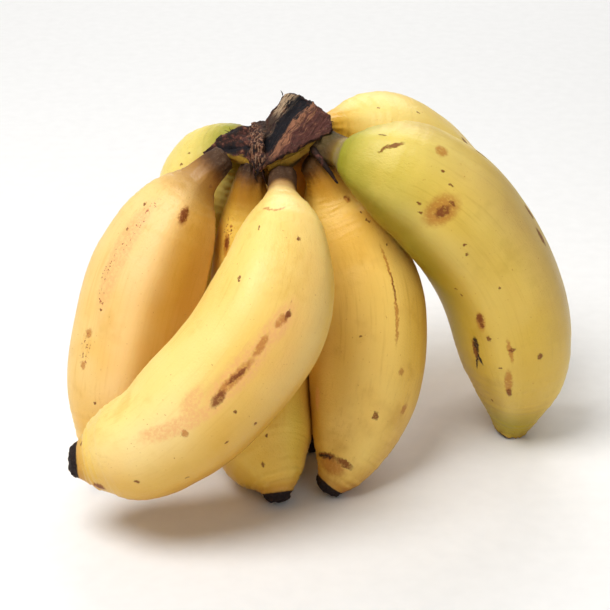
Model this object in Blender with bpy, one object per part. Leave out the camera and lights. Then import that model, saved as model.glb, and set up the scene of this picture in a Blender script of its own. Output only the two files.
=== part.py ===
"""A hand of eight short bananas resting on its finger ends, with the crown they grow from on top.

Metres, +Z up. +X is to the right, +Y to the back, and the origin is the bottom centre of the bunch's box.
"""

from itertools import combinations

import bmesh
import bpy
import numpy as np

MM = 0.001

# Driving dimensions.
FINGER_REACH = 0.115  # from the crown's centre to the end of a finger, in a straight line
FINGER_THICKNESS = 0.039  # across the body of a full-grown finger
NECK_THICKNESS = 0.0078  # across the stalk where it enters the crown
TIP_THICKNESS = 0.009  # across the dried end
TIP_LENGTH = 0.003  # of the dried end, past the taper
RIDGE_HEIGHT = 0.0003  # of the five soft ridges along a finger, over its mean radius
CROWN_LENGTH = 0.042  # of the pad from left to right
CROWN_DEPTH = 0.022  # of the pad from front to back
CROWN_HEIGHT = 0.024  # from the underside of the pad to its torn peak
NECK_SPACING = 0.0008  # of flesh between two stalks in the crown
SKIN_CLEARANCE = 0.0003  # between the skins of two fingers
SOCKET_CLEARANCE = 0.0003  # around a stalk in the crown
FOOT_DEPTH = 0.0022  # pressed flat on the lowest end, where it meets the surface

# The paths below are drawn for this reach, and stretch with FINGER_REACH.
DRAWN_REACH = 0.115
RIDGES = 5
RING_POINTS = 20
RINGS = 27
LEAN_SPREAD = 0.030  # along a finger, on each side of the place where a neighbour presses it
LEAN_PASSES = 400

# Each finger: its share of FINGER_THICKNESS, the lengths of its neck, shoulder and taper in mm, its colour,
# its seat in the crown in stalk pitches, and its path from there in mm. Both are from the crown's centre.
FINGERS = {
    "finger_front": dict(
        share=1.0, neck=12, shoulder=53, taper=44, colour=(0.87, 0.62, 0.16), seat=(0.35, -1.15, -0.1),
        path=[(2, -25, -7), (3, -42, -13), (0, -58, -30), (-14, -66, -50), (-33, -71, -68), (-51, -70, -76),
              (-62, -69, -77)],
    ),
    "finger_mid_left": dict(
        share=0.86, neck=7, shoulder=53, taper=26, colour=(0.62, 0.38, 0.09), seat=(-0.95, -0.7, -0.25),
        path=[(-9, -6, -16), (-9, -7, -31), (-7, -12, -50), (-6, -23, -68), (-5, -37, -83), (-2, -49, -94),
              (0, -54, -101)],
    ),
    "finger_mid_right": dict(
        share=0.97, neck=8, shoulder=47, taper=44, colour=(0.78, 0.48, 0.09), seat=(1.15, -0.2, -0.35),
        path=[(17, 0, -15), (24, -3, -29), (30, -12, -46), (30, -23, -64), (27, -35, -81), (22, -45, -94),
              (17, -48, -101)],
    ),
    "finger_left": dict(
        share=1.0, neck=6, shoulder=44, taper=38, colour=(0.82, 0.53, 0.14), seat=(-1.9, -0.6, 0.0),
        path=[(-26, -9, -9), (-34, -12, -22), (-42, -18, -40), (-47, -25, -59), (-51, -32, -79),
              (-54, -38, -94), (-55, -42, -102)],
    ),
    "finger_back_left": dict(
        share=0.98, neck=5, shoulder=35, taper=38, colour=(0.60, 0.52, 0.13), seat=(-1.3, 0.6, -0.1),
        path=[(-17, 16, -5), (-21, 22, -18), (-24, 25, -39), (-26, 22, -60), (-28, 16, -80), (-29, 9, -95),
              (-29, 5, -102)],
    ),
    "finger_back": dict(
        share=0.86, neck=7, shoulder=55, taper=44, colour=(0.55, 0.34, 0.08), seat=(0.6, 0.8, -0.1),
        path=[(9, 14, -14), (10, 20, -28), (12, 21, -49), (12, 13, -69), (13, -1, -86), (12, -15, -96),
              (11, -22, -101)],
    ),
    "finger_back_right": dict(
        share=0.95, neck=5, shoulder=38, taper=44, colour=(0.86, 0.60, 0.15), seat=(1.5, 1.05, 0.45),
        path=[(24, 20, -1), (40, 26, -8), (56, 31, -24), (70, 32, -47), (79, 30, -71), (82, 26, -90),
              (81, 24, -103)],
    ),
    "finger_right": dict(
        share=1.03, neck=9, shoulder=42, taper=42, colour=(0.58, 0.47, 0.08), seat=(1.5, -0.45, 0.55),
        path=[(27, -13, 0), (45, -16, -5), (62, -13, -23), (75, -11, -45), (81, -9, -70), (82, -7, -91),
              (80, -6, -103)],
    ),
}

# Each section of the crown from left to right: how far along CROWN_LENGTH it is from the centre, its
# half depth as a share of CROWN_DEPTH, and its underside and top as shares of CROWN_HEIGHT.
CROWN_SECTIONS = [
    (-0.52, 0.12, -0.18, -0.02),
    (-0.40, 0.30, -0.28, 0.14),
    (-0.22, 0.42, -0.32, 0.26),
    (-0.05, 0.46, -0.32, 0.32),
    (0.08, 0.50, -0.30, 0.66),
    (0.22, 0.50, -0.28, 0.68),
    (0.36, 0.44, -0.18, 0.48),
    (0.46, 0.26, 0.02, 0.34),
]
CROWN_POINTS = 16
CROWN_LEAN = 0.25  # how far the top of a section stands back, as a share of its height
CROWN_COLOUR = (0.05, 0.028, 0.022)


def clear_scene():
    for thing in list(bpy.data.objects):
        bpy.data.objects.remove(thing)


def material(name, colour, roughness):
    made = bpy.data.materials.new(name)
    made.use_nodes = True
    shader = made.node_tree.nodes["Principled BSDF"]
    shader.inputs["Base Color"].default_value = (*colour, 1.0)
    shader.inputs["Roughness"].default_value = roughness
    shader.inputs["Metallic"].default_value = 0.0
    return made


def smooth_path(points, count):
    """A curve through the points, as this many points at equal steps, and its length."""
    ends = [2 * points[0] - points[1]], [2 * points[-1] - points[-2]]
    knots = np.concatenate([ends[0], points, ends[1]])
    share = np.linspace(0, 1, 20, endpoint=False)[:, None]
    runs = []
    for before, start, end, after in zip(knots, knots[1:], knots[2:], knots[3:]):
        cubic = 3 * (start - end) + after - before
        square = 2 * before - 5 * start + 4 * end - after
        runs.append(start + 0.5 * share * (end - before + share * (square + share * cubic)))
    dense = np.concatenate([*runs, points[-1:]])
    along = np.concatenate([[0], np.cumsum(np.linalg.norm(np.diff(dense, axis=0), axis=1))])
    steps = np.linspace(0, along[-1], count)
    return np.stack([np.interp(steps, along, axis) for axis in dense.T], axis=1), along[-1]


def swell(share, power):
    """From 0 at the thin end to 1 where the body is full."""
    return np.sin(np.pi / 2 * np.clip(share, 0, 1)) ** power


def girth(finger, length):
    """The radius at each ring, from the neck over the shoulder and the body to the dried tip."""
    stretch = FINGER_REACH / DRAWN_REACH * MM
    along = np.linspace(0, length, RINGS)
    left = length - TIP_LENGTH - along
    body = FINGER_THICKNESS / 2 * finger["share"]
    neck, tip = NECK_THICKNESS / 2, TIP_THICKNESS / 2
    rise = swell((along - finger["neck"] * stretch) / (finger["shoulder"] * stretch), 1.15)
    fall = swell(left / (finger["taper"] * stretch), 0.8)
    return np.minimum(neck + (body - neck) * rise, tip + (body - tip) * fall)


def lay_fingers():
    """The rings of every finger as drawn: their centres, and their radii."""
    pitch = NECK_THICKNESS + NECK_SPACING
    laid = {}
    for name, finger in FINGERS.items():
        seat = np.array(finger["seat"]) * pitch
        drawn = np.array(finger["path"]) * MM * FINGER_REACH / DRAWN_REACH
        centres, length = smooth_path(np.vstack([seat, drawn]), RINGS)
        laid[name] = [centres, girth(finger, length)]
    return laid


def lean(centres, ring, push):
    """Bends a finger aside at one ring, less and less away from it, with its seat kept where it is."""
    along = np.concatenate([[0], np.cumsum(np.linalg.norm(np.diff(centres, axis=0), axis=1))])
    reach = np.exp(-(((along - along[ring]) / LEAN_SPREAD) ** 2))
    free = np.clip(along / max(along[ring], MM), 0, 1)
    return centres + (reach * free)[:, None] * push


def lean_apart(laid):
    """Fingers that press on each other lean apart, until their skins are SKIN_CLEARANCE away."""
    for _ in range(LEAN_PASSES):
        pressed = False
        for one, other in combinations(laid.values(), 2):
            between = one[0][:, None] - other[0][None]
            away = np.linalg.norm(between, axis=2)
            wanted = one[1][:, None] + other[1][None] + 2 * RIDGE_HEIGHT + SKIN_CLEARANCE
            short = wanted - away
            short[:3, :3] = 0  # stalks beside each other in the crown
            at = np.unravel_index(short.argmax(), short.shape)
            if short[at] <= 0:
                continue
            pressed = True
            push = between[at] / away[at] * short[at] / 2
            one[0] = lean(one[0], at[0], push)
            other[0] = lean(other[0], at[1], -push)
        if not pressed:
            return


def frames(centres):
    """Two directions across the path at each ring, carried along it without twist."""
    ahead = np.gradient(centres, axis=0)
    ahead /= np.linalg.norm(ahead, axis=1)[:, None]
    side = np.cross(ahead[0], (0.0, 1.0, 0.0))
    found = []
    for direction in ahead:
        side = side - direction * np.dot(side, direction)
        side /= np.linalg.norm(side)
        found.append((side, np.cross(direction, side)))
    return found


def tube(name, centres, radii, ridge):
    """A closed mesh of rings round the path, with a point at the middle of each end."""
    turn = np.linspace(0, 2 * np.pi, RING_POINTS, endpoint=False)
    mesh = bmesh.new()
    rings = []
    fullness = np.clip(radii / radii.max(), 0, 1) ** 2
    for centre, radius, full, (side, up) in zip(centres, radii, fullness, frames(centres)):
        reach = radius + ridge * full * np.cos(RIDGES * turn)
        across = np.cos(turn)[:, None] * side + np.sin(turn)[:, None] * up
        rings.append([mesh.verts.new(point) for point in centre + reach[:, None] * across])
    for near, far in zip(rings, rings[1:]):
        for i in range(RING_POINTS):
            j = (i + 1) % RING_POINTS
            mesh.faces.new((near[i], near[j], far[j], far[i]))
    for ring, centre in ((rings[0][::-1], centres[0]), (rings[-1], centres[-1])):
        middle = mesh.verts.new(centre)
        for i in range(RING_POINTS):
            mesh.faces.new((ring[i], ring[(i + 1) % RING_POINTS], middle))
    return finish(name, mesh)


def finish(name, mesh):
    """Makes the object of a closed mesh, with its faces outwards."""
    bmesh.ops.recalc_face_normals(mesh, faces=mesh.faces)
    data = bpy.data.meshes.new(name)
    mesh.to_mesh(data)
    mesh.free()
    made = bpy.data.objects.new(name, data)
    bpy.context.collection.objects.link(made)
    return made


def press_feet(fingers):
    """Flattens the ends that the bunch stands on to one level surface, and returns its height."""
    lowest = min(vertex.co.z for made in fingers for vertex in made.data.vertices)
    surface = lowest + FOOT_DEPTH
    for made in fingers:
        for vertex in made.data.vertices:
            vertex.co.z = max(vertex.co.z, surface)
    return surface


def crown_blank():
    """The pad as one lump, with sections that stand back towards their tops."""
    turn = np.linspace(0, 2 * np.pi, CROWN_POINTS, endpoint=False)
    mesh = bmesh.new()
    rings = []
    for along, half, under, top in CROWN_SECTIONS:
        middle, tall = (under + top) / 2 * CROWN_HEIGHT, (top - under) / 2 * CROWN_HEIGHT
        rise = middle + tall * np.sin(turn)
        back = half * CROWN_DEPTH * np.cos(turn) + CROWN_LEAN * (rise - middle)
        rings.append([mesh.verts.new((along * CROWN_LENGTH, y, z)) for y, z in zip(back, rise)])
    for near, far in zip(rings, rings[1:]):
        for i in range(CROWN_POINTS):
            j = (i + 1) % CROWN_POINTS
            mesh.faces.new((near[i], near[j], far[j], far[i]))
    mesh.faces.new(rings[0])
    mesh.faces.new(rings[-1])
    return finish("crown", mesh)


def cut_sockets(crown, laid):
    """Cuts the place of every stalk out of the crown, a clearance larger than the stalk."""
    for name, (centres, radii) in laid.items():
        start = centres[0] - (centres[1] - centres[0]) * 0.1
        room = np.vstack([start, centres[1:]])
        cutter = tube("socket_" + name, room, radii + SOCKET_CLEARANCE, RIDGE_HEIGHT)
        cutter.hide_render = True
        cutter.display_type = "WIRE"
        cut = crown.modifiers.new("socket_" + name, "BOOLEAN")
        cut.operation = "DIFFERENCE"
        cut.object = cutter


def stand_at_origin(made):
    """Moves every object so that the origin is at the bottom centre of the bunch's box."""
    corners = np.array([v.co for thing in made if not thing.hide_render for v in thing.data.vertices])
    low, high = corners.min(axis=0), corners.max(axis=0)
    centre = ((low[0] + high[0]) / 2, (low[1] + high[1]) / 2, low[2])
    for thing in made:
        thing.location = [-value for value in centre]


def main():
    clear_scene()
    laid = lay_fingers()
    lean_apart(laid)
    crown = crown_blank()
    crown.data.materials.append(material("crown_fibre", CROWN_COLOUR, 0.85))
    cut_sockets(crown, laid)
    fingers = []
    for name, (centres, radii) in laid.items():
        made = tube(name, centres, radii, RIDGE_HEIGHT)
        made.data.materials.append(material(name + "_peel", FINGERS[name]["colour"], 0.45))
        fingers.append(made)
    press_feet(fingers)
    stand_at_origin(list(bpy.data.objects))


main()
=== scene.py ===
# %% [markdown]
# # A bunch of short, ripe bananas
# The bunch lies crown up, resting on the ends of its fingers. The imported model gives every place and size,
# so it is loaded first.

# %% Load the frame
import math

import bpy
import numpy as np
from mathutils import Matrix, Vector, noise
from mathutils.bvhtree import BVHTree


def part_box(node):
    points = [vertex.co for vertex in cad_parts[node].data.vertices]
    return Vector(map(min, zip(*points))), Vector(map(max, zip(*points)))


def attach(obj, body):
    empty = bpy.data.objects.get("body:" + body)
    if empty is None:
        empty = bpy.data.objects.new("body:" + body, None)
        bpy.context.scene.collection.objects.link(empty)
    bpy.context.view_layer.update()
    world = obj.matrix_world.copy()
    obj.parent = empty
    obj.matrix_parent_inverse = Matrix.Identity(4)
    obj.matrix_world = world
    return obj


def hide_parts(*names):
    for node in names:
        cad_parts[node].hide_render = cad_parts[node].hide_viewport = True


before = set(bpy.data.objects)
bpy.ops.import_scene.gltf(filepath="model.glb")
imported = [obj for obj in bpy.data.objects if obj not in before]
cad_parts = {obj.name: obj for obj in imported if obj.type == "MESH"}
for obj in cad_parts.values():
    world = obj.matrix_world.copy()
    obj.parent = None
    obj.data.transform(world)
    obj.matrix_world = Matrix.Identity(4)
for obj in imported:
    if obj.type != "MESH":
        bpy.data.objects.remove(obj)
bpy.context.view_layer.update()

MM = 0.001
crown_low, crown_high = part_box("crown")
crown_middle = (crown_low + crown_high) / 2
fingers = sorted(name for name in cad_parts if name.startswith("finger_"))
print("fingers:", fingers)

# %% [markdown]
# ## Where each finger runs
# A banana is a bent tube, so its middle line and its thickness say nearly all of its shape. They could be
# typed in, but the model already holds them. A walk from the neck to the tip looks outwards at every step,
# in a ring of rays: the middle of the hits is the next point of the line, and their distance is the
# thickness there.


# %% Walk along a finger
RAYS = 24
MOST_STEPS = 120
SEAT_DEPTH = 2.5 * MM
NECK_FROM, NECK_TO = 5 * MM, 12 * MM


def ring_of_hits(skin, point, heading):
    """Where a ring of rays, square to heading, meets the skin from inside."""
    side = heading.orthogonal().normalized()
    other = heading.cross(side)
    turns = [math.tau * k / RAYS for k in range(RAYS)]
    rays = [side * math.cos(turn) + other * math.sin(turn) for turn in turns]
    hits = [skin.ray_cast(point, ray)[0] for ray in rays]
    return [hit for hit in hits if hit is not None]


def walk(name, step=2.0 * MM):
    """The middle points of a finger from its neck to its tip, and its radius at each."""
    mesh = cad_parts[name].data
    corners = [vertex.co.copy() for vertex in mesh.vertices]
    skin = BVHTree.FromPolygons(corners, [face.vertices for face in mesh.polygons])
    far = sorted(((corner - crown_middle).length, i) for i, corner in enumerate(corners))
    nearest = far[0][0]
    seat = [corners[i] for gap, i in far if gap < nearest + SEAT_DEPTH]
    beyond = [corners[i] for gap, i in far if nearest + NECK_FROM < gap < nearest + NECK_TO]
    start = sum(seat, Vector()) / len(seat)
    heading = (sum(beyond, Vector()) / len(beyond) - start).normalized()
    point, middles, radii = start + heading * MM, [], []
    while len(middles) < MOST_STEPS:
        for _ in range(3):
            hits = ring_of_hits(skin, point, heading)
            point = sum(hits, Vector()) / len(hits)
        middles.append(point)
        radii.append(sum((hit - point).length for hit in hits) / len(hits))
        if len(middles) > 2:
            heading = (heading + (middles[-1] - middles[-3]).normalized() * 2).normalized()
        ahead = skin.ray_cast(point, heading)[0]
        if ahead is None or (ahead - point).length < step * 1.3:
            break
        point = point + heading * step
    middles.insert(0, middles[0] - (middles[1] - middles[0]).normalized() * 1.5 * MM)
    radii.insert(0, radii[0])
    if ahead is not None:
        middles.append(ahead)
        radii.append(radii[-1])
    return np.array(middles), np.array(radii)


# %% [markdown]
# The walk wanders a little on the model's coarse facets, so the line is smoothed and then measured out in
# even steps. Each step also gets a sideways direction that turns as little as it can, like a ribbon laid
# along the finger without a twist. With it any place on the skin has three plain numbers: how far along,
# how far round, and how far from the middle.


# %% Lay a ribbon along the middle line
def even(points, radii, count=240, smoothings=14):
    """The line and its radii smoothed, in count even steps."""
    for _ in range(smoothings):
        points[1:-1] = (points[:-2] + 2 * points[1:-1] + points[2:]) / 4
        radii[1:-1] = (radii[:-2] + 2 * radii[1:-1] + radii[2:]) / 4
    gone = np.r_[0, np.cumsum(np.linalg.norm(np.diff(points, axis=0), axis=1))]
    at = np.linspace(0, gone[-1], count)
    line = np.stack([np.interp(at, gone, points[:, i]) for i in range(3)], axis=1)
    return line, np.interp(at, gone, radii), at


def soft_step(x, low, high):
    """0 below low, 1 above high, and a smooth rise between them."""
    t = np.clip((x - low) / (high - low), 0, 1)
    return t * t * (3 - 2 * t)


class Line:
    """A finger's middle line, the radius along it, and the ribbon that it carries."""

    def __init__(self, name):
        self.middle, self.radius, self.along = even(*walk(name))
        self.length = self.along[-1]

    def bend(self, sink, sway):
        """Moves the neck by sink and the lower half by sway, both in millimetres."""
        neck = 1 - soft_step(self.along, 4 * MM, 24 * MM)
        lower_half = soft_step(self.along, 0.5 * self.length, 0.85 * self.length)
        self.middle += neck[:, None] * np.array(sink) * MM
        self.middle += lower_half[:, None] * np.array(sway) * MM

    def shape_neck(self, longer, stout, plump, waist):
        """Keeps the neck slim for longer, in millimetres, makes it stout, and pinches its waist."""
        later = longer * MM * (1 - soft_step(self.along, 14 * MM, 38 * MM))
        self.radius = np.interp(self.along - later, self.along, self.radius)
        self.radius *= plump + (stout - plump) * (1 - soft_step(self.along, 20 * MM, 44 * MM))
        self.radius *= 1 - waist * np.exp(-(((self.along - 12 * MM) / (4.5 * MM)) ** 2))

    def shape_tip(self, tip, blunt):
        """Narrows or widens the last few millimetres, and fills out the end above them."""
        left = self.length - self.along
        self.radius *= tip + (1 - tip) * soft_step(left, 0, 9 * MM)
        self.radius *= 1 + blunt * (1 - soft_step(left, 13 * MM, 34 * MM)) * soft_step(left, 2 * MM, 9 * MM)

    def lay_ribbon(self):
        """Gives each step a heading and two directions square to it, turning as little as they can."""
        heading = np.gradient(self.middle, axis=0)
        self.heading = heading / np.linalg.norm(heading, axis=1)[:, None]
        side = np.cross(self.heading[0], [0, 0, 1.0])
        sides = []
        for ahead in self.heading:
            side = side - ahead * (side @ ahead)
            side = side / np.linalg.norm(side)
            sides.append(side)
        self.side = np.array(sides)
        self.other = np.cross(self.heading, self.side)

    def at(self, share):
        """(middle, heading, radius) at a share of the length."""
        k = int(round(share * (len(self.along) - 1)))
        return Vector(self.middle[k]), Vector(self.heading[k]), float(self.radius[k])

    def read(self, points):
        """(nearest step, along, turn round, distance from the middle) of each point."""
        gaps = ((points[:, None, :] - self.middle[None]) ** 2).sum(axis=2)
        k = gaps.argmin(axis=1)
        off = points - self.middle[k]
        slip = (off * self.heading[k]).sum(axis=1)
        x, y = (off * self.side[k]).sum(axis=1), (off * self.other[k]).sum(axis=1)
        return k, self.along[k] + slip, np.arctan2(y, x), np.hypot(x, y)


# %% [markdown]
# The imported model's necks are plain stalks that end below the crown. The real ones are stouter, run up
# under the crown's lip, and some are pinched where they leave it; two fingers also lean a little closer
# together. A few numbers for each finger bend and fill out its line before anything is built on it.

# %% Fit each line
PLAIN = dict(sink=(0, 0, 0), stout=1.0, waist=0.0, plump=1.0, blunt=0.0, longer=0.0, sway=(0, 0, 0), tip=1.0)
FITS = {
    "finger_back": dict(stout=1.15, tip=0.8),
    "finger_back_left": dict(sink=(0.8, 0, 0.5), stout=1.2),
    "finger_back_right": dict(sink=(1.5, 0, -0.6), stout=1.12, plump=0.975),
    "finger_front": dict(
        sink=(0, 2.5, -6.0), sway=(-0.9, 0, 0.8), stout=1.18, plump=1.02, longer=7.5, blunt=0.2, tip=0.84
    ),
    "finger_left": dict(sink=(0, 0, -0.6), stout=1.12, waist=0.16),
    "finger_mid_left": dict(stout=1.12, sway=(1.3, 0, -0.7), blunt=0.1, tip=0.74),
    "finger_mid_right": dict(sink=(2.6, -1, 0.6), sway=(-1.2, 0, 0), stout=1.35, plump=1.03, tip=0.8),
    "finger_right": dict(sink=(0.6, 4.6, -2.6), stout=1.28, waist=0.24),
}


def fitted(name):
    fit = {**PLAIN, **FITS[name]}
    line = Line(name)
    line.bend(fit["sink"], fit["sway"])
    line.shape_neck(fit["longer"], fit["stout"], fit["plump"], fit["waist"])
    line.shape_tip(fit["tip"], fit["blunt"])
    line.lay_ribbon()
    return line


lines = {name: fitted(name) for name in fingers}
for name, line in lines.items():
    print(f"{name}: {line.length / MM:.0f} mm along, {2 * line.radius.max() / MM:.1f} mm thick")

# %% [markdown]
# ## Growing a finger
# By hand a banana starts as a disc at the neck. The disc is extruded along the line, turned to face the new
# direction and scaled to the new thickness, ring after ring, closer together where the shape changes fast.
# Ten corners to a ring are enough, because a Subdivision Surface rounds them and keeps the cage easy to
# change.


# %% Grow one cage
RING_SHARES = [
    0, 0.02, 0.045, 0.075, 0.11, 0.15, 0.19, 0.24, 0.30, 0.37, 0.45,
    0.53, 0.61, 0.69, 0.76, 0.82, 0.87, 0.91, 0.94, 0.965, 0.985, 1,
]
LEAST_TURN = 1e-5
DOUBLES = 0.005 * MM


def turn_ring(before, after, middle):
    """Turns the selected ring from one heading to the next, round its own middle."""
    for axis, angle in zip("XYZ", before.rotation_difference(after).to_euler("XYZ")):
        if abs(angle) > LEAST_TURN:
            bpy.ops.transform.rotate(
                value=-angle, orient_axis=axis, orient_type="GLOBAL", center_override=middle
            )


def grow(name, rings, sides=10, rounding=3):
    """A closed tube through the rings, each one a middle, a heading and a radius."""
    bpy.ops.object.select_all(action="DESELECT")
    middle, heading, radius = rings[0]
    facing = heading.to_track_quat("Z", "Y").to_euler()
    bpy.ops.mesh.primitive_circle_add(
        vertices=sides, radius=radius, fill_type="NGON", location=middle, rotation=facing
    )
    tube = bpy.context.object
    tube.name = tube.data.name = name
    bpy.ops.object.transform_apply(location=True, rotation=True, scale=True)
    bpy.ops.object.mode_set(mode="EDIT")
    bpy.ops.mesh.select_all(action="SELECT")
    for onward, facing, wide in rings[1:]:
        bpy.ops.mesh.extrude_region_move(TRANSFORM_OT_translate={"value": onward - middle})
        turn_ring(heading, facing, onward)
        bpy.ops.transform.resize(value=[wide / radius] * 3, center_override=onward)
        middle, heading, radius = onward, facing, wide
    bpy.ops.mesh.select_all(action="SELECT")
    bpy.ops.mesh.remove_doubles(threshold=DOUBLES)
    bpy.ops.mesh.normals_make_consistent(inside=False)
    bpy.ops.object.mode_set(mode="OBJECT")
    soften = tube.modifiers.new("rounding", "SUBSURF")
    soften.levels = soften.render_levels = rounding
    bpy.ops.object.modifier_apply(modifier=soften.name)
    bpy.ops.object.shade_smooth()
    return tube


# %% [markdown]
# ## The living shape
# A rounded tube is still too even. A real finger has five soft ridges, a skin that swells and dips a
# little, long wrinkles on its dried neck, and a rough black stub where the flower was. These are pushed in
# point by point, as with a sculpting brush, because noise at three sizes looks grown where modifiers look
# machined. The points under the table are pressed flat, as the soft fruit does under its own weight.


# %% Sculpt a finger
def rough(points, size, seed=0.0):
    """Smooth noise from -1 to 1 at each point, with lumps of about that size in metres."""
    return np.array([noise.noise(Vector(p) / size + Vector((seed, seed * 0.7, -seed))) for p in points])


def corners_of(piece):
    spots = np.empty(len(piece.data.vertices) * 3, np.float32)
    piece.data.vertices.foreach_get("co", spots)
    return spots.reshape(-1, 3).astype(float)


def put_corners(piece, spots):
    piece.data.vertices.foreach_set("co", spots.astype(np.float32).ravel())
    piece.data.update()


def remember(piece, name, kind, values):
    """Stores a number or a vector on every point, for a finish to read."""
    field = piece.data.attributes.new(name, kind, "POINT")
    holds = "vector" if kind == "FLOAT_VECTOR" else "value"
    field.data.foreach_set(holds, np.asarray(values, np.float32).ravel())


def facing_of(piece):
    """The direction that the skin faces at each point."""
    facing = np.empty(len(piece.data.vertices) * 3, np.float32)
    piece.data.vertex_normals.foreach_get("vector", facing)
    return facing.reshape(-1, 3)


RIDGE_COUNT = 5
END_CAP = 1.2 * MM
FLOOR_GAP = 0.02 * MM


def sculpt(finger, line, ridge_turn, ridge_height, seed):
    """Ridges, unevenness, neck wrinkles and a rough tip; also stores where on the skin each point is."""
    spots = corners_of(finger)
    k, along, turn, _ = line.read(spots)
    inner = (along > END_CAP) & (along < line.length - END_CAP)
    full = line.radius[k]
    belly = soft_step(along, 0, 0.16 * line.length)
    belly = belly * (1 - soft_step(along, 0.88 * line.length, line.length))
    ridge = (0.5 + 0.5 * np.cos(RIDGE_COUNT * (turn - ridge_turn))) ** 2
    swell = full * (1 + ridge_height * (0.35 + 0.65 * belly) * (ridge - 0.38))
    swell += belly * (0.35 * rough(spots, 22 * MM, seed) + 0.10 * rough(spots, 7 * MM, seed + 5)) * MM
    dry = 1 - soft_step(along, 4 * MM, 15 * MM)
    wrapped = np.stack([np.cos(turn) * 4 * MM, np.sin(turn) * 4 * MM, along * 0.18], axis=1)
    swell += dry * rough(wrapped, 1.3 * MM, seed) * 0.6 * MM
    stub = soft_step(along, line.length - 5 * MM, line.length - 2 * MM)
    swell += stub * (0.5 * rough(spots, 1.6 * MM, seed + 9) - 0.1) * MM
    out = np.cos(turn)[:, None] * line.side[k] + np.sin(turn)[:, None] * line.other[k]
    slip = (along - line.along[k])[:, None] * line.heading[k]
    spots[inner] = (line.middle[k] + slip + out * swell[:, None])[inner]
    end = along > line.length - 2.5 * MM
    spots[end] += (line.heading[k] * (0.7 * rough(spots, 1.4 * MM, seed + 3) * MM)[:, None])[end]
    spots[:, 2] = np.maximum(spots[:, 2], FLOOR_GAP)
    put_corners(finger, spots)
    _, along, turn, away = line.read(spots)
    lay = np.stack([away * np.cos(turn), away * np.sin(turn), along], axis=1) / MM
    remember(finger, "lay", "FLOAT_VECTOR", lay)
    remember(finger, "ridge", "FLOAT", ridge * belly)
    # How far each point faces up, kept so that the peel can paint highlight on top and shade beneath.
    remember(finger, "painted_light_facing", "FLOAT", facing_of(finger)[:, 2])


# Where one ridge lies, in degrees round the finger, and how proud the ridges stand.
RIDGES = {
    "finger_back": (17, 0.05),
    "finger_back_left": (50, 0.05),
    "finger_back_right": (30, 0.05),
    "finger_front": (-72, 0.03),
    "finger_left": (-158, 0.07),
    "finger_mid_left": (40, 0.05),
    "finger_mid_right": (-34, 0.035),
    "finger_right": (-59, 0.045),
}
peeled = {}
for seed, (name, (ridge_turn, ridge_height)) in enumerate(RIDGES.items()):
    finger = grow(name + "_peel", [lines[name].at(share) for share in RING_SHARES])
    sculpt(finger, lines[name], math.radians(ridge_turn), ridge_height, seed * 11.3)
    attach(finger, "root")
    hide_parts(name)
    peeled[name] = finger
    low, high = corners_of(finger).min(0), corners_of(finger).max(0)
    print(finger.name, len(finger.data.polygons), "faces", np.round(low / MM, 1), np.round(high / MM, 1))

# %% [markdown]
# ## Tools for finishes
# Each finish is a tree of nodes. A few short helpers add a node, join it and hand back its output, so that
# the recipes below read like mixing paint: a ground colour, then one thin layer after another.


# %% Helpers that mix paint
def paint(red, green, blue):
    """A colour as it looks on a screen, 0 to 255, turned into the linear one that Blender mixes."""
    shares = [channel / 255 for channel in (red, green, blue)]
    return (*[s / 12.92 if s <= 0.04045 else ((s + 0.055) / 1.055) ** 2.4 for s in shares], 1.0)


# A Mix node has several sockets of the same name, so the ones for colours go by their number.
UNDER_COLOUR, OVER_COLOUR, MIXED_COLOUR = 6, 7, 2


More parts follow.
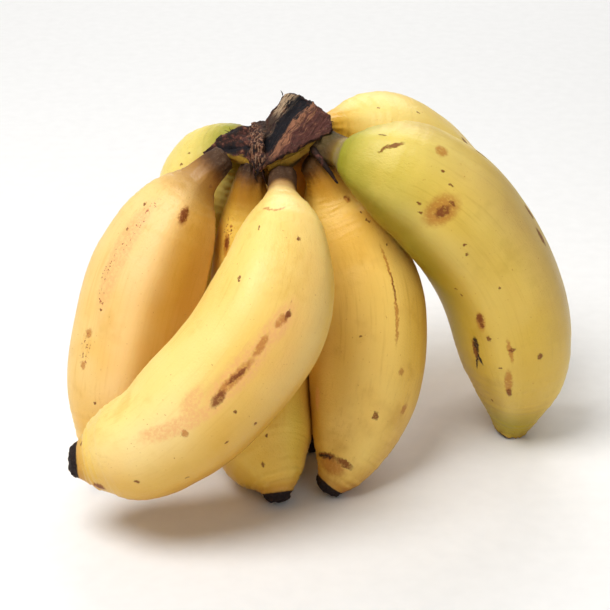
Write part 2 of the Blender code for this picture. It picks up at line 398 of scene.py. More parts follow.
class Finish:
    """A material that starts as a bare shader. Its methods add nodes and hand back their outputs."""

    def __init__(self, name, **shader):
        self.material = bpy.data.materials.new(name)
        self.material.use_nodes = True
        self.nodes, self.links = self.material.node_tree.nodes, self.material.node_tree.links
        self.nodes.clear()
        self.shader = self.nodes.new("ShaderNodeBsdfPrincipled")
        out = self.nodes.new("ShaderNodeOutputMaterial")
        self.links.new(self.shader.outputs[0], out.inputs[0])
        for socket, value in shader.items():
            self.shader.inputs[socket.replace("_", " ")].default_value = value

    def add(self, kind, sockets, output=0, **settings):
        """Adds a node, sets or links its sockets, and hands back one output."""
        node = self.nodes.new("ShaderNode" + kind)
        for name, value in settings.items():
            setattr(node, name, value)
        for socket, value in sockets.items():
            if isinstance(value, bpy.types.NodeSocket):
                self.links.new(value, node.inputs[socket])
            else:
                node.inputs[socket].default_value = value
        return node.outputs[output]

    def stored(self, name, output="Fac"):
        return self.add("Attribute", {}, output, attribute_name=name)

    def stretched(self, place, scale):
        return self.add("Mapping", {"Vector": place, "Scale": scale})

    def grain(self, place, scale, detail=3.0, roughness=0.5, output="Fac"):
        sockets = {"Vector": place, "Scale": scale, "Detail": detail, "Roughness": roughness}
        return self.add("TexNoise", sockets, output)

    def fade(self, value, low, high, start=0.0, end=1.0):
        """Goes smoothly from start to end while value goes from low to high."""
        sockets = {"Value": value, "From Min": low, "From Max": high, "To Min": start, "To Max": end}
        return self.add("MapRange", sockets, interpolation_type="SMOOTHSTEP")

    def reckon(self, operation, a, b=0.0):
        return self.add("Math", {0: a, 1: b}, operation=operation)

    def sum(self, a, b):
        return self.reckon("ADD", a, b)

    def times(self, a, b):
        return self.reckon("MULTIPLY", a, b)

    def most(self, masks):
        """The strongest of the masks at each place."""
        strongest = masks[0]
        for mask in masks[1:]:
            strongest = self.reckon("MAXIMUM", strongest, mask)
        return strongest

    def layer(self, amount, under, over):
        """Paints one colour over another, as thickly as amount says."""
        sockets = {0: amount, UNDER_COLOUR: under, OVER_COLOUR: over}
        return self.add("Mix", sockets, MIXED_COLOUR, data_type="RGBA")

    def ramp(self, value, stops):
        node = self.nodes.new("ShaderNodeValToRGB")
        self.links.new(value, node.inputs[0])
        points = node.color_ramp.elements
        while len(points) < len(stops):
            points.new(0.5)
        for point, (place, colour) in zip(points, stops):
            point.position, point.color = place, colour
        return node.outputs[0]

    def finish(self, colour, roughness, height, depth):
        """Joins colour, roughness and bump to the shader; depth is the bump's height in metres."""
        self.links.new(colour, self.shader.inputs["Base Color"])
        self.links.new(roughness, self.shader.inputs["Roughness"])
        bump = self.add("Bump", {"Height": height, "Distance": depth, "Strength": 1.0})
        self.links.new(bump, self.shader.inputs["Normal"])
        return self.material


# %% [markdown]
# ## Ripe peel
# Banana peel is never one yellow. It is paler on the ridges, more golden between them, greener where it
# ripens last, and finely streaked along its length. The neck goes brown and then nearly black, and the stub
# of the flower is charcoal. The streaks are noise that is squeezed round the finger and stretched along it,
# read from the place on the skin that each point remembers, so they follow the bend.


# %% Peel colours
LEMON, CREAM = paint(240, 197, 80), paint(251, 228, 146)
HONEY, AMBER = paint(220, 164, 38), paint(178, 114, 8)
LIME, LEAF, PEACH = paint(206, 190, 74), paint(132, 134, 18), paint(240, 176, 112)
BARK, EARTH, SOOT = paint(46, 24, 8), paint(116, 70, 20), paint(34, 20, 18)
RUST, BRUISE, INK = paint(178, 100, 22), paint(124, 58, 8), paint(48, 22, 10)
DUSK, GOLD, ASH = paint(190, 146, 92), paint(228, 180, 66), paint(150, 126, 96)
# How far a blemish reaches into the peel, in millimetres, so that no bump of the skin leaves it.
BLEMISH_DEPTH = 8.0


def blemish(finish, lay, radius, along, turn, long, wide, tilt=0.0, soft=0.35):
    """A mask that is 1 inside an oval on the skin: along and round the finger, its size in millimetres."""
    turn, tilt = math.radians(turn), math.radians(tilt)
    place = (radius * math.cos(turn), radius * math.sin(turn), along)
    size = (BLEMISH_DEPTH, wide / 2, long / 2)
    sockets = {"Vector": lay, "Location": place, "Rotation": (tilt, 0, turn), "Scale": size}
    local = finish.add("Mapping", sockets, vector_type="TEXTURE")
    reach = finish.add("VectorMath", {0: local}, "Value", operation="LENGTH")
    return finish.fade(reach, 1 + soft, 1 - soft)


def radius_at(line, along):
    return float(np.interp(along * MM, line.along, line.radius)) / MM


def peel(name, line, ground, pale, deep, neck, reach, marks, dots, tints, stub=3.2, bark=BARK, collar=0.0):
    """The whole skin of one finger. reach is how far its neck is brown, in millimetres, and stub the length
    of its black tip; collar is where a dry grey ring ends the stalk, if there is one. marks holds (kind,
    along, turn, long, wide, tilt); dots (along, turn); tints (tone, strength, along, turn, long, wide)."""
    length = line.length / MM
    finish = Finish(name, IOR=1.45, Subsurface_Weight=0.1, Subsurface_Scale=0.004, Specular_IOR_Level=0.36)
    finish.shader.inputs["Subsurface Radius"].default_value = (1.0, 0.6, 0.2)
    lay = finish.stored("lay", "Vector")
    place = finish.add("TexCoord", {}, "Object")
    ridge, painted_light_facing = finish.stored("ridge"), finish.stored("painted_light_facing")
    wobble = finish.grain(lay, 0.9, 3.0, 0.6, "Color")
    shaken = finish.add("VectorMath", {0: wobble, 1: (0.5, 0.5, 0.5)}, operation="SUBTRACT")
    shaken = finish.add("VectorMath", {0: shaken, "Scale": 1.9}, operation="SCALE")
    shaken = finish.add("VectorMath", {0: lay, 1: shaken}, operation="ADD")
    along, steady = finish.add("SeparateXYZ", {0: shaken}, "Z"), finish.add("SeparateXYZ", {0: lay}, "Z")
    broad = finish.grain(place, 30.0, 2.0, 0.5)
    patch = finish.grain(place, 75.0, 3.0, 0.6)
    streak = finish.grain(finish.stretched(lay, (1.0, 1.0, 0.035)), 0.8, 4.0, 0.6)
    fine = finish.grain(finish.stretched(lay, (1.0, 1.0, 0.06)), 3.2, 3.0, 0.6)
    colour = finish.layer(finish.fade(broad, 0.42, 0.66, 0.0, 0.6), ground, pale)
    # Painted light: skin that faces up is painted paler as a painted highlight, and skin that faces down is
    # painted deeper and amber as painted shade.
    colour = finish.layer(finish.fade(painted_light_facing, 0.0, 0.95, 0.0, 0.5), colour, pale)
    colour = finish.layer(finish.fade(painted_light_facing, 0.15, -0.8, 0.0, 0.85), colour, deep)
    colour = finish.layer(finish.fade(painted_light_facing, -0.35, -1.0, 0.0, 0.4), colour, AMBER)
    colour = finish.layer(finish.fade(patch, 0.52, 0.72, 0.0, 0.35), colour, deep)
    colour = finish.layer(finish.fade(streak, 0.5, 0.75, 0.0, 0.3), colour, deep)
    colour = finish.layer(finish.fade(fine, 0.58, 0.8, 0.0, 0.16), colour, AMBER)
    colour = finish.layer(finish.times(ridge, 0.4), colour, pale)
    # Tints are broad patches. Some are the peel's own greens and blushes; others are painted shade or
    # painted highlight, as each finger lists.
    for tone, strength, *spot in tints:
        mask = blemish(finish, lay, radius_at(line, spot[0]), *spot, soft=0.9)
        mask = finish.times(mask, finish.fade(patch, 0.25, 0.7, strength, strength * 0.65))
        colour = finish.layer(mask, colour, tone)
    pinprick = finish.grain(lay, 1.5, 1.0, 0.4)
    colour = finish.layer(finish.fade(pinprick, 0.745, 0.80, 0.0, 0.6), colour, RUST)
    mottle = finish.grain(lay, 1.1, 4.0, 0.7)
    grit = finish.fade(finish.grain(lay, 1.15, 2.0, 0.6), 0.585, 0.65)
    whole = finish.fade(mottle, 0.3, 0.5, 0.5, 1.0)
    stains = {
        "blush": (PEACH, finish.fade(mottle, 0.35, 0.6, 0.25, 0.75)),
        "tan": (RUST, finish.times(whole, 0.7)),
        "grit": (paint(158, 74, 36), finish.times(grit, 0.9)),
        "bruise": (BRUISE, finish.times(whole, 0.9)),
        "black": (INK, whole),
    }
    masks = {kind: [] for kind in stains}
    round_dots = [("bruise", step, turn, 1.0, 0.85, 0) for step, turn in dots]
    for kind, *spot in [*marks, *round_dots]:
        masks[kind].append(blemish(finish, shaken, radius_at(line, spot[0]), *spot))
    for kind, (tone, strength) in stains.items():
        if masks[kind]:
            colour = finish.layer(finish.times(finish.most(masks[kind]), strength), colour, tone)
    hurt = [mask for kind in ("bruise", "black") for mask in masks[kind]]
    colour = finish.layer(finish.fade(along, reach + 15, reach + 3, 0.0, 0.85), colour, neck)
    colour = finish.layer(finish.fade(along, reach + 4, reach - 2, 0.0, 0.85), colour, EARTH)
    dusty = finish.layer(finish.fade(patch, 0.4, 0.7, 0.0, 0.5), bark, paint(104, 74, 50))
    dusty = finish.layer(finish.fade(mottle, 0.5, 0.75, 0.0, 0.3), dusty, ASH)
    colour = finish.layer(finish.fade(along, reach + 1, reach - 4, 0.0, 0.95), colour, dusty)
    if collar:
        ring = finish.fade(along, collar - 2.6, collar - 0.8)
        ring = finish.times(ring, finish.fade(along, collar + 1.8, collar + 0.4))
        colour = finish.layer(finish.times(ring, finish.fade(mottle, 0.35, 0.6, 0.3, 0.85)), colour, ASH)
    edge = finish.sum(finish.times(steady, 0.75), finish.times(along, 0.25))
    colour = finish.layer(finish.fade(edge, length - stub * 2.4, length - stub, 0.0, 0.5), colour, RUST)
    tip = finish.fade(edge, length - stub - 0.35, length - stub + 0.2)
    charred = finish.layer(finish.fade(mottle, 0.5, 0.72, 0.0, 0.5), SOOT, paint(76, 52, 42))
    colour = finish.layer(tip, colour, charred)
    dry_neck = finish.fade(along, reach + 3, reach - 3, 0.0, 0.8)
    worn = finish.most([tip, *[finish.times(mask, 0.5) for mask in hurt], dry_neck])
    roughness = finish.sum(finish.times(worn, 0.42), finish.fade(broad, 0.3, 0.7, 0.31, 0.42))
    height = finish.sum(finish.times(fine, 0.3), finish.times(finish.grain(lay, 1.3, 4.0, 0.6), 0.5))
    height = finish.sum(height, finish.times(worn, finish.times(mottle, 1.6)))
    return finish.finish(colour, roughness, height, 0.3 * MM)


# %% [markdown]
# Every finger gets its own mixture and its own history of knocks. A mark is placed by how far it is from
# the neck and how far round, and its edge is broken up by the same noise that shakes the place it reads.

# %% Dress the fingers
LOOKS = {
    "finger_back": dict(
        # The deeper honey ground is painted shade, because this finger sits in the shadow behind the others.
        ground=HONEY, pale=GOLD, deep=AMBER, neck=AMBER, reach=6,
        marks=[
            ("tan", 60, -150, 6, 3, 10), ("grit", 70, -118, 22, 7, 4), ("tan", 48, -100, 9, 1.4, 8),
            ("bruise", 84, -134, 5, 2, -12), ("blush", 56, -128, 26, 6, 0),
        ],
        dots=[
            (35, -120), (44, -140), (52, -92), (66, -160), (74, -104), (86, -96), (92, -150), (98, -124),
            (61, 160),
        ],
        tints=[(LIME, 0.4, 30, 60, 30, 16)],
    ),
    "finger_back_left": dict(
        ground=paint(240, 214, 108), pale=CREAM, deep=GOLD, neck=LEAF, reach=2,
        marks=[
            ("tan", 60, -34, 7, 2.6, 8), ("bruise", 46, -96, 4, 2, 20), ("grit", 76, -66, 24, 7, 6),
            ("bruise", 90, -42, 3, 5, 0), ("tan", 40, 6, 12, 1.0, 4),
        ],
        dots=[
            (16, -156), (19, -166), (33, 170), (52, -72), (58, -20), (70, -140), (66, -50), (84, -90),
            (94, -30), (98, -70), (48, 20),
        ],
        tints=[
            (LIME, 0.5, 12, -150, 30, 24), (LIME, 0.6, 30, 120, 46, 24), (LIME, 0.4, 24, -50, 30, 20),
            (HONEY, 0.4, 84, -40, 40, 22),
        ],
    ),
    "finger_back_right": dict(
        ground=LEMON, pale=paint(248, 223, 136), deep=GOLD, neck=HONEY, reach=1,
        marks=[
            ("tan", 70, 100, 5, 3, 0), ("bruise", 50, -52, 3, 2, 0), ("bruise", 84, -128, 6, 2.4, -15),
            ("grit", 66, -148, 30, 7, 4), ("tan", 104, -150, 9, 2.6, 0), ("black", 112, -116, 3.4, 1.4, 20),
            ("blush", 52, -158, 34, 7, 0),
        ],
        dots=[
            (32, -48), (20, -52), (44, -120), (58, -100), (72, -166), (78, -110), (92, -160), (98, -136),
            (108, -92), (118, -140), (62, 160), (88, 176),
        ],
        tints=[
            (PEACH, 0.4, 60, -130, 60, 18), (HONEY, 0.4, 110, -150, 40, 20), (LIME, 0.35, 26, -140, 30, 20),
        ],
    ),
    "finger_front": dict(
        ground=paint(242, 197, 90), pale=paint(251, 224, 140), deep=paint(218, 166, 54), neck=DUSK,
        reach=12,
        marks=[
            ("tan", 33.8, -70, 4.5, 0.9, 63), ("tan", 34.2, -85, 4, 0.8, 110),
            ("blush", 64, -108, 13, 6, -20), ("blush", 78, -102, 26, 8, -4),
            ("blush", 100, -96, 26, 5, -18),
            ("tan", 62, -110, 4, 2.2, -41), ("bruise", 60.5, -113, 2.2, 1.4, -30),
            ("tan", 69, -104, 6, 2.2, -3), ("bruise", 79, -102, 7, 1.2, -11),
            ("tan", 80, -102, 15, 2.8, -6),
            ("bruise", 87.4, -103, 6, 2.6, 8),
            ("tan", 101, -104, 2.6, 1.6, 60), ("blush", 105.6, -88, 13, 3.4, -25),
            ("blush", 93, -88, 10, 5, 10),
            ("tan", 132.5, -140, 4.2, 3.2, 30), ("bruise", 132.5, -140, 3.2, 2.4, 30),
        ],
        dots=[
            (40, -63), (42.6, -110), (55.8, -59), (56.6, -60), (87, -122), (86.5, -147), (95, -138),
            (118, -123), (109, -145), (132, 2), (136, -47),
        ],
        # The cream band at 112 mm on the front is a painted highlight. The amber band at 104 mm and the
        # honey band at 112 mm along the underside are painted shade.
        tints=[
            (PEACH, 0.35, 62, -128, 60, 14), (paint(252, 224, 170), 0.5, 112, -96, 40, 16),
            (AMBER, 0.6, 104, -168, 76, 18), (HONEY, 0.6, 112, -140, 50, 20),
            (HONEY, 0.35, 92, -128, 20, 8),
        ],
    ),
    "finger_left": dict(
        ground=paint(238, 186, 84), pale=paint(250, 216, 148), deep=paint(208, 148, 26),
        neck=paint(158, 110, 48), reach=8,
        marks=[
            ("bruise", 23.4, -165, 5.2, 2.2, 6), ("tan", 23.6, -165, 6.4, 3.0, 6),
            ("bruise", 11.2, 163, 1.4, 1.6, 0),
            ("grit", 26.5, -121, 7, 2.6, -6), ("grit", 33, -123, 8, 2.8, 4),
            ("grit", 40.5, -118, 9, 3.2, -14),
            ("grit", 49, -113, 8, 3.0, -8), ("grit", 57, -116, 7, 2.4, 16), ("blush", 42, -119, 40, 7, 0),
            ("tan", 69, -110, 3, 2.6, 0), ("tan", 79, -109, 2.6, 2, 0), ("grit", 74, -109, 12, 4, 0),
        ],
        dots=[(90, -129), (27, -110), (36, -112), (61, -119), (30, -60), (55, -40), (77, -20)],
        # The narrow cream band at 52 mm beside the ridge is a painted highlight. The honey band at 48 mm
        # across the ridge is painted shade.
        tints=[(paint(251, 205, 140), 0.6, 52, -150, 74, 11), (HONEY, 0.5, 48, 170, 70, 18)],
    ),
    "finger_mid_left": dict(
        ground=paint(238, 194, 82), pale=paint(244, 206, 92), deep=paint(222, 166, 30),
        neck=paint(160, 104, 20), reach=8,
        marks=[
            ("bruise", 26.7, -102, 4.4, 1.6, 4), ("tan", 27.5, -101, 8, 2.6, 4),
            ("grit", 22, -100, 7, 5, 0),
        ],
        dots=[(22.4, -107), (100, -146), (107, -127), (60, 120), (80, 60)],
        tints=[(LIME, 0.35, 96, 170, 26, 12)],
    ),
    "finger_mid_right": dict(
        ground=paint(232, 186, 76), pale=paint(246, 210, 114), deep=paint(188, 126, 8),
        neck=paint(184, 126, 26), reach=5, bark=paint(92, 60, 20),
        marks=[
            ("bruise", 109.0, 31, 8.5, 1.9, 98), ("black", 109.2, 33, 6.0, 1.0, 98),
            ("bruise", 108.8, -12, 6.0, 1.6, 86), ("tan", 111, 12, 4, 9, 0),
            ("tan", 46, -34, 15, 0.9, -1), ("tan", 61, -34, 17, 1.1, 0), ("bruise", 52, -34, 10, 0.5, 0),
            ("bruise", 92.6, -28, 2.4, 1.6, 30), ("tan", 88, -64, 3.5, 2.2, 0), ("tan", 78, -43, 2.6, 2, 0),
            ("blush", 90.7, 49, 8, 3, 0),
            ("tan", 16, -30, 3, 2, 0),
        ],
        dots=[
            (15, -28), (16, -31), (24, -33), (27.7, -33), (28.6, -35), (38.5, -43), (67.8, 1), (93.4, -26),
            (60, 100),
        ],
        # These tints are painted light. The two amber bands down the sides are painted shade, and the pale
        # band down the middle is a painted highlight. The honey patch near the neck is painted shade from
        # the finger beside it.
        tints=[
            (AMBER, 0.45, 80, 62, 60, 12), (AMBER, 0.4, 60, -96, 70, 10),
            (paint(250, 212, 122), 0.5, 90, -6, 44, 14), (HONEY, 0.65, 30, -14, 34, 26),
        ],
    ),
    "finger_right": dict(
        ground=paint(226, 192, 76), pale=paint(246, 220, 124), deep=paint(180, 138, 14),
        neck=paint(146, 148, 34), reach=12, stub=1.0, bark=paint(74, 62, 24), collar=14,
        marks=[
            ("bruise", 24.9, -46, 3.6, 0.9, 63), ("bruise", 26.8, -52, 4.4, 1.2, 40),
            ("tan", 36.7, -65, 3.0, 4.2, 0), ("bruise", 43.8, -13, 5.0, 2.6, 79),
            ("tan", 43.4, -13, 12, 7, 79), ("tan", 43.8, -14, 8, 4.6, 79),
            ("bruise", 44.5, -25, 1.6, 1.4, 0),
            ("bruise", 85.4, 23, 4.4, 2.4, -13), ("tan", 87, 24, 8.4, 3.2, -13),
            ("bruise", 88.6, 24, 2.2, 1.6, 0),
            ("black", 98, 38, 7, 1.9, -3), ("black", 104.2, 38, 5.6, 0.9, 14),
            ("black", 106.2, 43, 7, 0.8, -17), ("bruise", 101, 41, 9, 2.2, 0),
            ("bruise", 94.4, 21, 2.4, 1.8, 0), ("bruise", 117.8, 12, 3.6, 1.8, 0),
            ("tan", 113, 11, 10, 2.6, -7), ("tan", 100, 4, 9, 1.5, 0),
            ("bruise", 99.9, 2, 1.8, 1.8, 0), ("bruise", 105.4, -24, 2.2, 1.8, 0),
            ("bruise", 48, -106, 4, 2, 0), ("bruise", 67, -88, 5, 2.2, 0), ("bruise", 74, -78, 6, 2.6, 0),
        ],
        dots=[
            (37.7, -7), (39.2, 0), (23.6, -65), (42, -38), (38.7, -46), (55.4, -4), (58.6, 0), (71.2, 33),
            (74.3, 31), (76, -7), (106.7, 16), (125.5, 38),
        ],
        tints=[
            (LEAF, 0.62, 24, 20, 30, 22), (LEAF, 0.66, 40, 52, 40, 22), (LEAF, 0.6, 66, 72, 50, 22),
            (LEAF, 0.4, 96, 78, 40, 16), (paint(228, 184, 74), 0.6, 92, -26, 84, 30),
            (LIME, 0.5, 26, -60, 26, 30), (LEAF, 0.6, 138, 20, 16, 22),
            (paint(196, 152, 98), 0.55, 66, -62, 50, 14), (paint(200, 160, 92), 0.4, 96, -60, 40, 14),
            (paint(178, 128, 60), 0.4, 60, -92, 60, 10),
        ],
    ),
}


def dress(piece, material):
    """Gives a piece one finish, and says how many nodes that took."""
    piece.data.materials.clear()
    piece.data.materials.append(material)
    print(piece.name, "wears", material.name, "of", len(material.node_tree.nodes), "nodes")


for name, look in LOOKS.items():
    dress(peeled[name], peel(peeled[name].name, lines[name], **look))

# %% [markdown]
# ## The crown
# The crown is the pad that joins the fingers. It was cut from the stalk with a knife, so its right half
# rises to a slanted, fibrous face, and its left half has torn and dried to a low black pad. Each half is a
# few simple lumps: the hull round a handful of corners. Joined and remeshed into one skin, they grow
# together as the real tissue did.

# %% Join a few lumps
HEART = crown_low + Vector((21.8, 11.4, 7.8)) * MM
LUMPS = {
    "wedge": [
        (3.3, 6, 16), (8.3, 6.5, 15.8), (5, 9.5, 14), (18.0, 1.8, 10.2), (18.6, -0.5, 7.8), (16, 7, 6),
        (17.6, -4.2, 6.6), (8.2, -9.6, 3.9), (3.3, -11, 1.8), (-2.6, -10.3, -2.2), (-2.4, 2, 8.6),
        (-3.5, 7, 6), (14, -1, 3.4), (3, -6, -3), (-2, -6, -5), (0, 6, -5), (12, 7, 0),
    ],
    "lower rim": [
        (-2.4, -9.6, -3.6), (4, -9.8, -0.6), (9, -8.2, 1.8), (15.6, -3, 5.0), (-2, -7.4, -6),
        (4.6, -7.2, -4.4), (10, -5, -0.9), (15, -1, 3.2), (0, 3, -5), (9, 4, -2),
    ],
    "left pad": [
        (-23.8, -1.8, -1.2), (-22.8, -3.8, -2.6), (-18.4, 0, 3.0), (-12.2, 2, 6.2), (-6.6, 3, 6.2),
        (-14, -5, 1.8), (-8, -6.6, 2.2), (-14, -3, -3.5), (-6, -4, -5), (-14, 5, 1), (-6, 7, 2),
        (-18, 3, -1),
    ],
    "left rim": [
        (-18, -4.4, -1.2), (-14, -6, -0.4), (-9, -7, -0.8), (-6.6, -7.6, -4.2), (-14, -2, -4.2),
        (-7, -3, -7), (-10, 4, -4), (-15, 3, -3),
    ],
    "waist": [
        (-9.5, -6, 2.4), (-4, -8.8, 3), (-2.6, -10.2, -3), (-6, -9.4, -6), (-9, -5, -4), (-8, 3, 7.2),
        (-4.6, 2.6, 8.2), (-2.5, 3, 7.6), (-1, 5, 5), (0, 0, -6),
    ],
    "underside": [
        (-6, -2, -8), (3, -3, -9), (6, 4, -8), (-4, 5, -8), (0, 0, -10.5), (9, 0, -4), (-9, 0, -4),
        (0, -6, -5), (0, 6, -3),
    ],
    "core": [
        (-5, -2, -10), (4, -3, -10), (2, 3, -12), (-4, 3, -12), (-1, -1, -15), (2, -2, -14), (0, 0, -6),
        (-4, -5, -6), (4, -5, -7),
    ],
}


def lump(name, corners):
    """The hull round a few corners, given in millimetres from the crown's heart."""
    bpy.ops.object.select_all(action="DESELECT")
    mesh = bpy.data.meshes.new(name)
    mesh.from_pydata([HEART + Vector(corner) * MM for corner in corners], [], [])
    piece = bpy.data.objects.new(name, mesh)
    bpy.context.collection.objects.link(piece)
    bpy.context.view_layer.objects.active = piece
    piece.select_set(True)
    bpy.ops.object.mode_set(mode="EDIT")
    bpy.ops.mesh.select_all(action="SELECT")
    bpy.ops.mesh.convex_hull()
    bpy.ops.mesh.normals_make_consistent(inside=False)
    bpy.ops.object.mode_set(mode="OBJECT")
    return piece


def joined(pieces, name):
    """The pieces made into one, under a new name."""
    bpy.ops.object.select_all(action="DESELECT")
    for piece in pieces:
        piece.select_set(True)
    bpy.context.view_layer.objects.active = pieces[0]
    bpy.ops.object.join()
    whole = bpy.context.object
    whole.name = whole.data.name = name
    return whole


crown = joined([lump(name, corners) for name, corners in LUMPS.items()], "crown_cut")
crown.data.remesh_voxel_size = 0.45 * MM
bpy.ops.object.voxel_remesh()
smoothing = crown.modifiers.new("smoothing", "SMOOTH")
smoothing.factor, smoothing.iterations = 0.5, 4
bpy.ops.object.modifier_apply(modifier=smoothing.name)
bpy.ops.object.shade_smooth()
print("crown:", len(crown.data.polygons), "faces")

# %% [markdown]
# The fibres of the old stalk run down the slanted face, from its peak to the front. Across them the face
# changes from a pale raised strip to a deep black furrow and on to brown. So every point is measured across
# the fibres, and both its depth and later its colour come from that one number, which keeps hollow and dark
# together.

# %% Carve the fibres
FACE_OUT = Vector((0.24, -0.64, 0.73)).normalized()
FIBRES = Vector((-11.4, -15.1, -9.5)).normalized()
ACROSS = FACE_OUT.cross(FIBRES).normalized()
# In millimetres from the heart: the slot in the pad's front, and how high the peel's upper edge runs.
SLOT_FROM, SLOT_TO = np.array([-22.4, -3.4, 0.1]), np.array([-9.8, -6.6, 2.2])
LIP_ACROSS = [-21, -15.4, -10.2, -7.4, -5.5, -3.4, 3.3, 8.2, 16.3, 18]
LIP_UP = [-1.6, 0.0, 0.0, -2.2, -5.5, -3.0, 0.9, 3.0, 5.6, 6.4]


def carve(crown):
    """Cuts the fibres, the torn pad, its long slot and the rim, and stores the measures that colour them."""
    spots = corners_of(crown)
    local = (spots - np.array(HEART)) / MM
    out = facing_of(crown).astype(float)
    band = local @ np.array(ACROSS) + 0.8 * rough(local, 3.5, 2.0) + 0.3 * rough(local, 1.1, 4.0)
    down = local @ np.array(FIBRES)
    right_half = soft_step(local[:, 0] + 0.4 * local[:, 1], -6.5, -4.0)
    on_face = soft_step(out @ np.array(FACE_OUT), 0.45, 0.8) * right_half
    threads = rough(np.stack([band * 1.5, down * 0.2, band * 0.3], axis=1), 1.0, 7.0)
    furrow = np.exp(-(((band + 1.9) / 2.0) ** 2))
    strip = np.exp(-(((band + 5.6) / 1.5) ** 2))
    push = on_face * (-1.4 * furrow + 0.4 * strip + 0.4 * threads)
    stretched = local * np.array([0.45, 1.0, 1.0])
    torn = rough(stretched, 2.0, 1.0) * 0.8 + rough(stretched, 0.9, 3.0) * 0.35
    torn += rough(local, 0.55, 8.0) * 0.12
    slot_run = SLOT_TO - SLOT_FROM
    t = np.clip(((local - SLOT_FROM) @ slot_run) / (slot_run @ slot_run), 0, 1)
    gap = np.linalg.norm(local - SLOT_FROM - t[:, None] * slot_run, axis=1)
    slot = np.exp(-((gap / 1.7) ** 2))
    push += (1 - 0.7 * on_face) * torn - 2.0 * slot
    under = np.interp(local[:, 0], LIP_ACROSS, LIP_UP) - local[:, 2] + 0.5 * rough(local, 1.6, 6.0)
    under = under - 3.0 * soft_step(local[:, 1], -3.0, 2.0)
    smooth_rim = soft_step(under, 0.2, 1.0)
    push = push * (1 - 0.8 * smooth_rim) + 0.5 * np.exp(-(((under + 0.3) / 0.7) ** 2)) * (1 - on_face)
    put_corners(crown, spots + out * (push * MM)[:, None])
    remember(crown, "band", "FLOAT", band)
    remember(crown, "down", "FLOAT", down)
    remember(crown, "face", "FLOAT", on_face)
    remember(crown, "under", "FLOAT", under)
    remember(crown, "hollow", "FLOAT", np.clip(slot + on_face * furrow - 0.25 * push, 0, 1))


carve(crown)
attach(crown, "root")
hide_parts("crown")
low, high = corners_of(crown).min(0), corners_of(crown).max(0)
print("crown box:", np.round(low / MM, 1), np.round(high / MM, 1))

# %% [markdown]
# ## Dried crown finish
# The cut tissue dries to a mix of charcoal, plum brown and straw. The slanted face takes its colours across
# the fibres; the torn pad is mottled; the rim below the cut is still peel, olive and dull.

# %% Colour the crown
STRAW, PLUM, CLAY = paint(188, 160, 128), paint(92, 52, 44), paint(160, 108, 78)
CHARCOAL, OLIVE = paint(24, 23, 28), paint(172, 134, 46)
# The colours in turn across the face, and how far left of the heart a tuft of threads hangs, in millimetres.
BANDS = [
    (0.0, BARK), (0.05, STRAW), (0.18, STRAW), (0.23, CHARCOAL), (0.42, CHARCOAL),
    (0.47, CLAY), (0.53, CLAY), (0.60, PLUM), (1.0, PLUM),
]
TUFT_LEFT = 5.6


def in_millimetres(finish):
    """The place on the object, in millimetres, so that the scales below are per millimetre."""
    return finish.stretched(finish.add("TexCoord", {}, "Object"), (1 / MM, 1 / MM, 1 / MM))


def dried_fibre():
    finish = Finish("crown_fibre", IOR=1.45, Specular_IOR_Level=0.3)
    place = in_millimetres(finish)
    band, down = finish.stored("band"), finish.stored("down")
    on_face, under, hollow = finish.stored("face"), finish.stored("under"), finish.stored("hollow")
    run = finish.add("CombineXYZ", {0: finish.times(band, 2.4), 1: finish.times(down, 0.3), 2: 0.0})
    threads = finish.grain(run, 1.0, 4.0, 0.65)
    blotch = finish.grain(place, 0.45, 4.0, 0.65)
    crumbs = finish.grain(place, 1.8, 4.0, 0.7)
    wander = finish.grain(run, 0.35, 3.0, 0.7)
    ragged = finish.add("MapRange", {"Value": wander, "To Min": -7.0, "To Max": 7.0})
    spread = finish.add("MapRange", {"Value": finish.sum(band, ragged), "From Min": -8.0, "From Max": 12.0})
    face = finish.ramp(spread, BANDS)
    strip_end = finish.times(finish.fade(down, -7.5, -4.5), finish.fade(band, -2.6, -4.4))
    face = finish.layer(finish.times(strip_end, 0.9), face, paint(46, 30, 28))
    face = finish.layer(finish.fade(threads, 0.50, 0.66, 0.0, 0.75), face, BARK)
    face = finish.layer(finish.fade(blotch, 0.52, 0.62, 0.0, 0.7), face, paint(62, 36, 30))
    face = finish.layer(finish.fade(blotch, 0.44, 0.34, 0.0, 0.4), face, CLAY)
    face = finish.layer(finish.fade(crumbs, 0.58, 0.75, 0.0, 0.4), face, STRAW)
    pad = finish.ramp(blotch, [(0.34, CHARCOAL), (0.48, paint(52, 32, 24)), (0.58, PLUM), (0.70, CLAY)])
    pad = finish.layer(finish.fade(crumbs, 0.6, 0.78, 0.0, 0.5), pad, STRAW)
    aside = finish.reckon("SUBTRACT", finish.add("SeparateXYZ", {0: place}, "X"), HEART.x / MM - TUFT_LEFT)
    hanging = finish.grain(finish.stretched(place, (1.7, 1.7, 0.2)), 1.0, 2.0, 0.5)
    tuft = finish.ramp(hanging, [(0.38, CHARCOAL), (0.48, paint(58, 36, 28)), (0.56, CLAY), (0.70, STRAW)])
    pad = finish.layer(finish.fade(finish.reckon("ABSOLUTE", aside), 3.6, 1.8, 0.0, 0.6), pad, tuft)
    colour = finish.layer(on_face, pad, face)
    rim = finish.layer(finish.fade(blotch, 0.5, 0.75, 0.0, 0.6), OLIVE, EARTH)
    rim = finish.layer(finish.fade(under, 3.5, 6.5, 0.0, 0.85), rim, BARK)
    colour = finish.layer(finish.fade(under, 0.4, 1.3), colour, rim)
    colour = finish.layer(finish.fade(hollow, 0.25, 0.8, 0.0, 0.9), colour, CHARCOAL)
    height = finish.sum(finish.times(threads, 0.8), finish.times(crumbs, 0.6))
    return finish.finish(colour, finish.fade(crumbs, 0.3, 0.7, 0.62, 0.85), height, 0.7 * MM)


dress(crown, dried_fibre())

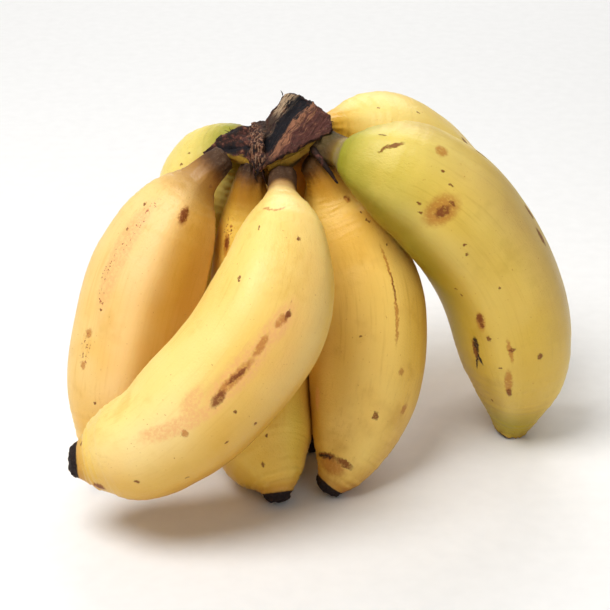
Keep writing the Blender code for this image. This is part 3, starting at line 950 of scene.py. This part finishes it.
# %% [markdown]
# ## Torn strands
# Where the hand was pulled from its stalk, a few threads hang loose, some as fine as hair, and one dried
# strip has curled down a neck. They are grown like the fingers, thin, along a short path, and joined into
# one piece.


# %% Grow the strands
def strand(path, width):
    """A thin tapering thread along a path of points, in millimetres from the crown's heart."""
    points = [HEART + Vector(point) * MM for point in path]
    last = len(points) - 1
    rings = []
    for i, point in enumerate(points):
        heading = (points[min(i + 1, last)] - points[max(i - 1, 0)]).normalized()
        rings.append((point, heading, width / 2 * MM * (1 - 0.8 * (i / last) ** 2)))
    return grow("strand", rings, sides=6, rounding=1)


STRANDS = [
    ([(-1.6, -10.6, 0.4), (-3.6, -11.5, -1.6), (-5.8, -11.6, -3.8), (-8.2, -11.2, -5.6)], 0.5),
    ([(-3, -10.2, -1.0), (-4.4, -10.9, -3.4), (-5.8, -10.6, -5.8), (-6.6, -10.4, -7.4)], 0.8),
    ([(-4.4, -9.6, -3.2), (-4.0, -11.0, -5.2), (-3.2, -11.6, -7.4), (-2.2, -11.8, -9.4)], 0.35),
    ([(-6.4, -8.6, -2.2), (-6.8, -9.6, -4.6), (-6.2, -9.9, -7), (-5.6, -9.6, -9)], 0.9),
    ([(-8, -7.4, 0.6), (-8.2, -8.6, -1.8), (-7.6, -9.2, -4.4), (-7.8, -9.0, -6.4)], 0.7),
    ([(-14, 1.6, 3.4), (-14.8, 1.4, 4.4), (-15.6, 1.2, 5.0), (-16.6, 1.0, 5.2)], 0.35),
    ([(-13.4, 1.2, 3.8), (-14.0, 1.0, 4.9), (-14.6, 0.6, 5.8), (-14.8, 0.4, 6.8)], 0.3),
    ([(-18, -0.6, 1.6), (-18.8, -0.9, 2.4), (-19.2, -1.2, 3.2)], 0.5),
    ([(2.6, 6.4, 15), (2.4, 6.2, 16.4), (1.8, 6.0, 17.2)], 0.5),
    ([(17, 2.2, 7.6), (18.2, 1.4, 8.2), (19.2, 0.6, 7.8)], 0.7),
]
DRIED_STRIP = [
    (11.4, -3.0, 1.6), (13.2, -7.4, 0.6), (15.2, -8.8, -1.8),
    (17.0, -9.8, -4.2), (19.0, -10.9, -6.6), (20.6, -12.0, -8.6),
]
STRIP_WIDTH = 2.8
threads = [strand(path, width) for path, width in [*STRANDS, (DRIED_STRIP, STRIP_WIDTH)]]
strands = joined(threads, "crown_strands")
spots = corners_of(strands)
kinks = np.stack([rough(spots, 1.1 * MM, k * 4.0) for k in range(3)], axis=1)
put_corners(strands, spots + kinks * 0.18 * MM)
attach(strands, "root")
print("strands:", len(threads), "threads,", len(strands.data.polygons), "faces")

# %% [markdown]
# The strands dry darker than the pad, so they have a finish of their own: soot and bark, with some plum and
# a few crumbs of brown.


# %% Colour the strands
def dry_thread():
    finish = Finish("dry_thread", Specular_IOR_Level=0.3)
    place = in_millimetres(finish)
    blotch, crumbs = finish.grain(place, 0.5, 3.0), finish.grain(place, 2.4, 4.0, 0.7)
    colour = finish.ramp(blotch, [(0.40, SOOT), (0.54, BARK), (0.66, PLUM), (0.80, CLAY)])
    colour = finish.layer(finish.fade(crumbs, 0.58, 0.8, 0.0, 0.45), colour, EARTH)
    return finish.finish(colour, finish.fade(crumbs, 0.3, 0.7, 0.55, 0.8), crumbs, 0.3 * MM)


dress(strands, dry_thread())

# %% [markdown]
# ## Floor, light and camera
# A pale floor with a trace of grain. One large soft light stands above and a little to the front left and
# makes the shadow under the bunch. A second one, far behind, brightens mostly the floor towards the
# horizon, and a weak one at the front right keeps the shaded sides golden. A dim even sky lifts what is
# left. The camera stands half a metre in front and looks 25 degrees down through a long lens.


# %% Floor
bpy.ops.object.select_all(action="DESELECT")
bpy.ops.mesh.primitive_plane_add(size=8, location=(0, 2.0, -0.1 * MM))
floor = bpy.context.object
floor.name = "floor"
card = Finish("pale_card", Specular_IOR_Level=0.2)
weave = card.grain(card.add("TexCoord", {}, "Object"), 160.0, 3.0)
card_colour = card.layer(weave, paint(246, 245, 243), paint(238, 237, 235))
dress(floor, card.finish(card_colour, card.fade(weave, 0.3, 0.7, 0.8, 0.9), weave, 0.05 * MM))


# %% Light and camera
def soft_box(name, place, aim, size, power):
    light = bpy.data.lights.new(name, "AREA")
    light.shape, light.size, light.energy = "DISK", size, power
    lamp = bpy.data.objects.new(name, light)
    bpy.context.collection.objects.link(lamp)
    lamp.location = place
    lamp.rotation_euler = (Vector(aim) - Vector(place)).to_track_quat("-Z", "Y").to_euler()


soft_box("key", (-0.32, -0.26, 0.82), (0, 0, 0.05), 0.55, 7.4)
soft_box("back", (0.1, 1.9, 1.3), (0, 1.6, 0), 1.6, 30.0)
soft_box("fill", (0.6, -0.9, 0.45), (0, 0, 0.05), 0.9, 1.7)
world = bpy.data.worlds.new("pale_sky")
world.use_nodes = True
sky = world.node_tree.nodes["Background"]
sky.inputs["Color"].default_value = (1, 1, 1, 1)
sky.inputs["Strength"].default_value = 0.22
bpy.context.scene.world = world
bpy.context.scene.view_settings.view_transform = "Standard"

lens = bpy.data.cameras.new("camera")
lens.lens, lens.sensor_width = 100.6, 36.0
lens.clip_start, lens.clip_end = 0.01, 20
camera = bpy.data.objects.new("camera", lens)
bpy.context.collection.objects.link(camera)
camera.location = (-0.0061, -0.5056, 0.2904)
camera.rotation_euler = (math.radians(65), 0, 0)
bpy.context.scene.camera = camera
print("camera:", round((camera.location - crown_middle).length / MM), "mm from the crown")

# %% [markdown]
# ## Last step
# The scene is brought up to date.

# %% Update the scene
bpy.context.view_layer.update()
